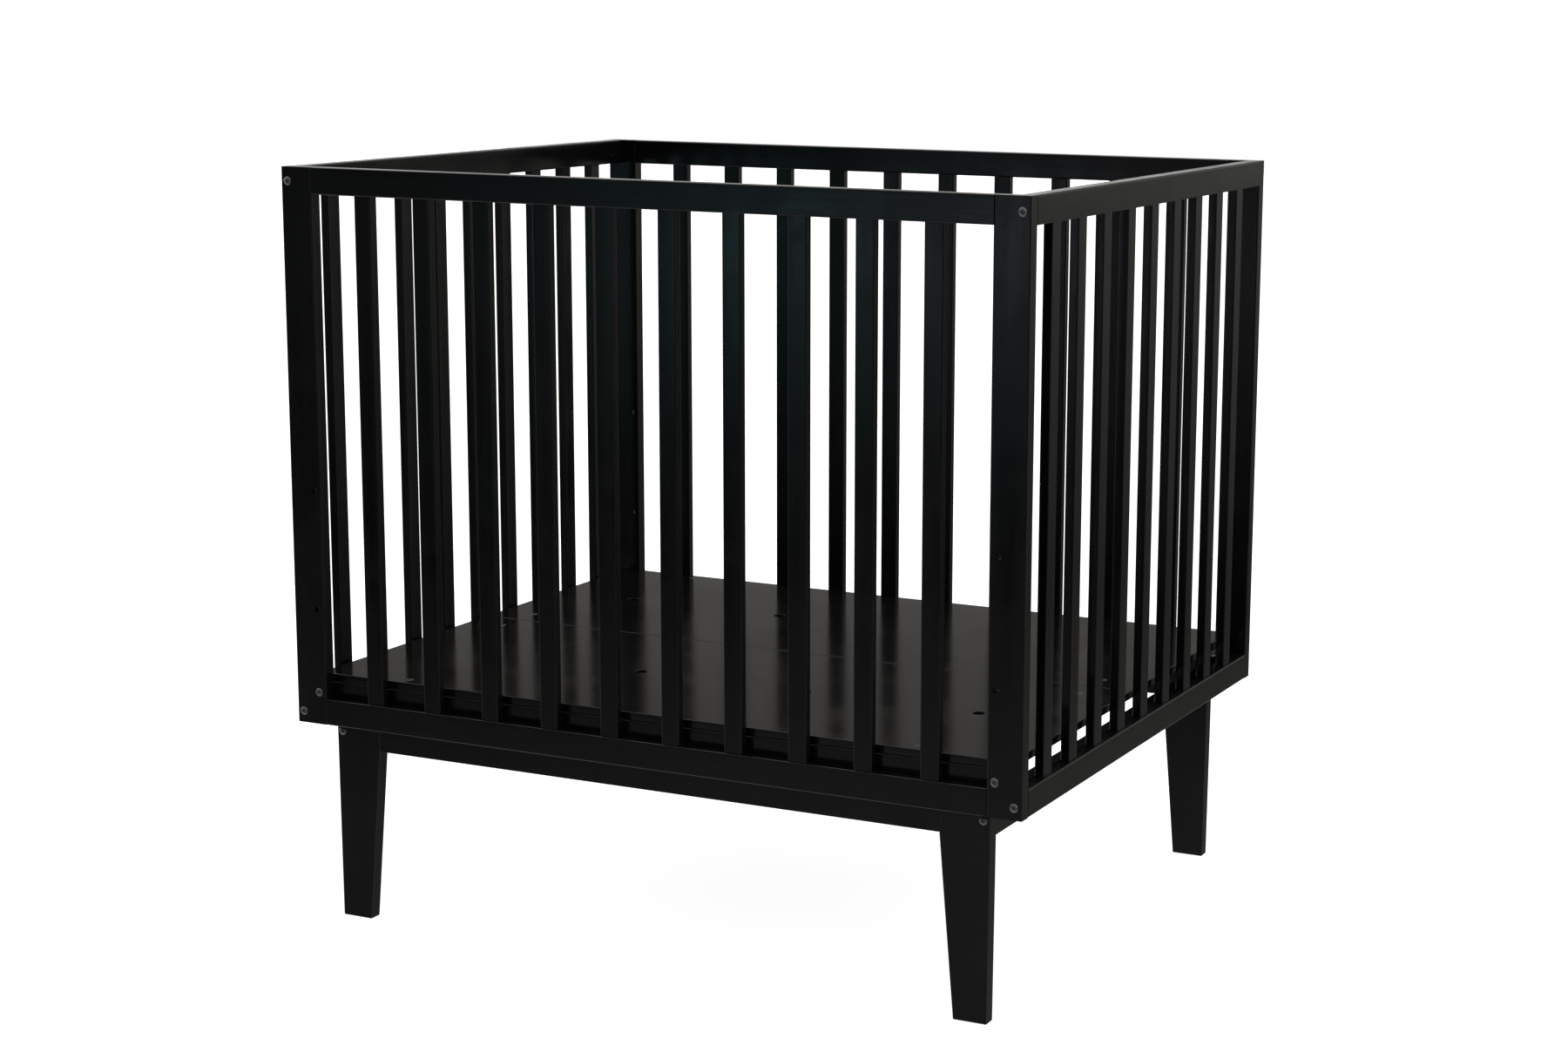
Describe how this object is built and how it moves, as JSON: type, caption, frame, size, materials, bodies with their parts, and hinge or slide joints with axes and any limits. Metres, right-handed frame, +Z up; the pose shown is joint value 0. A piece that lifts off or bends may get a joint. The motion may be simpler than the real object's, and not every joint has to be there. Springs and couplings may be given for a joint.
{
  "type": "playpen",
  "caption": "Rectangular slatted wooden playpen on tapered legs, with an apron, a two-board floor that bolts in at three heights, and an open top.",
  "frame": {"origin": "on the ground, under the middle of the box", "axes": "+X along the long side, +Y to the back panel, +Z up; the front panel faces -Y"},
  "size_m": [0.99, 0.79, 0.947],
  "materials": {
    "black_lacquer": "satin black lacquer over beech, fine grain just showing",
    "floor_lacquer": "smooth satin black lacquer on fibreboard",
    "dark_steel": "black zinc, worn to grey on the rims",
    "beech": "bare fluted dowel"
  },
  "bodies": {
    "box": {"front_left_post": "black_lacquer", "front_right_post": "black_lacquer", "back_left_post": "black_lacquer", "back_right_post": "black_lacquer", "front_top_rail": "black_lacquer", "front_bottom_rail": "black_lacquer", "back_top_rail": "black_lacquer", "back_bottom_rail": "black_lacquer", "left_top_rail": "black_lacquer", "left_bottom_rail": "black_lacquer", "right_top_rail": "black_lacquer", "right_bottom_rail": "black_lacquer", "front_slat_1": "black_lacquer", "front_slat_2": "black_lacquer", "front_slat_3": "black_lacquer", "front_slat_4": "black_lacquer", "front_slat_5": "black_lacquer", "front_slat_6": "black_lacquer", "front_slat_7": "black_lacquer", "front_slat_8": "black_lacquer", "front_slat_9": "black_lacquer", "front_slat_10": "black_lacquer", "back_slat_1": "black_lacquer", "back_slat_2": "black_lacquer", "back_slat_3": "black_lacquer", "back_slat_4": "black_lacquer", "back_slat_5": "black_lacquer", "back_slat_6": "black_lacquer", "back_slat_7": "black_lacquer", "back_slat_8": "black_lacquer", "back_slat_9": "black_lacquer", "back_slat_10": "black_lacquer", "left_slats": "black_lacquer", "right_slats": "black_lacquer", "front_left_leg": "black_lacquer", "front_right_leg": "black_lacquer", "back_left_leg": "black_lacquer", "back_right_leg": "black_lacquer", "front_apron": "black_lacquer", "back_apron": "black_lacquer", "left_apron": "black_lacquer", "right_apron": "black_lacquer", "panel_dowels": "beech", "corner_pins": "beech", "apron_dowels": "beech", "floor_bolts": "dark_steel", "floor_nuts": "dark_steel", "frame_bolts": "dark_steel", "barrel_nuts": "dark_steel", "frame_screws": "dark_steel"},
    "floor": {"front_floor_board": "floor_lacquer", "back_floor_board": "floor_lacquer", "front_bearer": "black_lacquer", "back_bearer": "black_lacquer", "left_cross_rail": "black_lacquer", "centre_cross_rail": "black_lacquer", "right_cross_rail": "black_lacquer", "floor_dowels": "beech", "floor_screws": "dark_steel"}
  },
  "joints": [
    {"name": "floor_height", "type": "slide", "parent": "box", "child": "floor", "axis": [0, 0, 1], "range_m": [0, 0.2555]}
  ]
}
